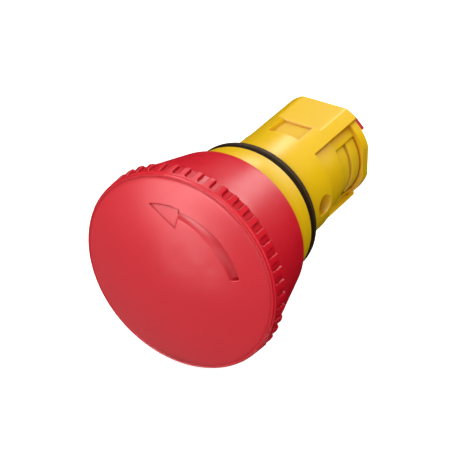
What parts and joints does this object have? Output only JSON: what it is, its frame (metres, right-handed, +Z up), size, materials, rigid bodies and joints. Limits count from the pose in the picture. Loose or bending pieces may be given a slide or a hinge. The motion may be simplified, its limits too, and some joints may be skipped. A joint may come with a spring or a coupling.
{
  "type": "emergency stop button",
  "caption": "Twist-release mushroom-head emergency stop button on a round panel-mount actuator with collar, gasket, latch and springs inside.",
  "frame": {"origin": "centre of the button's axis on the panel's front plane, which is the rear face of the gasket", "axes": "the red head faces -Y, +Y runs along the axis into the panel, +Z is up"},
  "size_m": [0.04, 0.0595, 0.04],
  "materials": {
    "red_plastic": "satin",
    "actuator_plastic": "satin",
    "yellow_plastic": "satin",
    "guide_plastic": "satin",
    "stem_plastic": "satin",
    "cup_plastic": "satin",
    "gasket_rubber": "matte",
    "seal_rubber": "matte",
    "spring_steel": "bright drawn wire",
    "bright_steel": "zinc plated"
  },
  "bodies": {
    "housing": {"housing": "yellow_plastic", "panel_gasket": "gasket_rubber", "seal_retainer": "bright_steel", "lip_seal": "seal_rubber", "spring_seat": "bright_steel", "rear_guide": "guide_plastic", "latch_wire": "spring_steel", "return_spring": "spring_steel"},
    "plunger": {"spring_cup": "cup_plastic", "thrust_washer": "bright_steel", "torsion_spring": "spring_steel", "trip_spring_left": "spring_steel", "trip_spring_right": "spring_steel", "plunger": "actuator_plastic", "stem_clip": "bright_steel", "actuator_plate": "actuator_plastic", "plate_screw": "bright_steel"},
    "head": {"mushroom_cap": "red_plastic", "cap_clip": "bright_steel", "stem": "stem_plastic"},
    "trip_pin_left": {"trip_pin_left": "bright_steel"},
    "trip_pin_right": {"trip_pin_right": "bright_steel"}
  },
  "joints": [
    {"name": "head_press", "type": "slide", "parent": "housing", "child": "plunger", "axis": [0, 1, 0], "range_m": [0, 0.004], "stiffness_N_per_m": 2500, "springref_m": -0.004, "deforming": ["return_spring", "latch_wire"]},
    {"name": "head_turn", "type": "hinge", "parent": "plunger", "child": "head", "pos_m": [0, 0, 0], "axis": [0, -1, 0], "range_deg": [0, 40], "stiffness_Nm_per_rad": 0.2, "springref_deg": -17.19, "deforming": ["torsion_spring"]},
    {"name": "trip_pin_left_slide", "type": "slide", "parent": "plunger", "child": "trip_pin_left", "axis": [1, 0, 0], "range_m": [0, 0.0004], "deforming": ["trip_spring_left"]},
    {"name": "trip_pin_right_slide", "type": "slide", "parent": "plunger", "child": "trip_pin_right", "axis": [-1, 0, 0], "range_m": [0, 0.0004], "deforming": ["trip_spring_right"]}
  ],
  "couplings": [
    {"joint": "trip_pin_left_slide", "follows": "head_press", "ratio": 0.1},
    {"joint": "trip_pin_right_slide", "follows": "head_press", "ratio": 0.1}
  ]
}
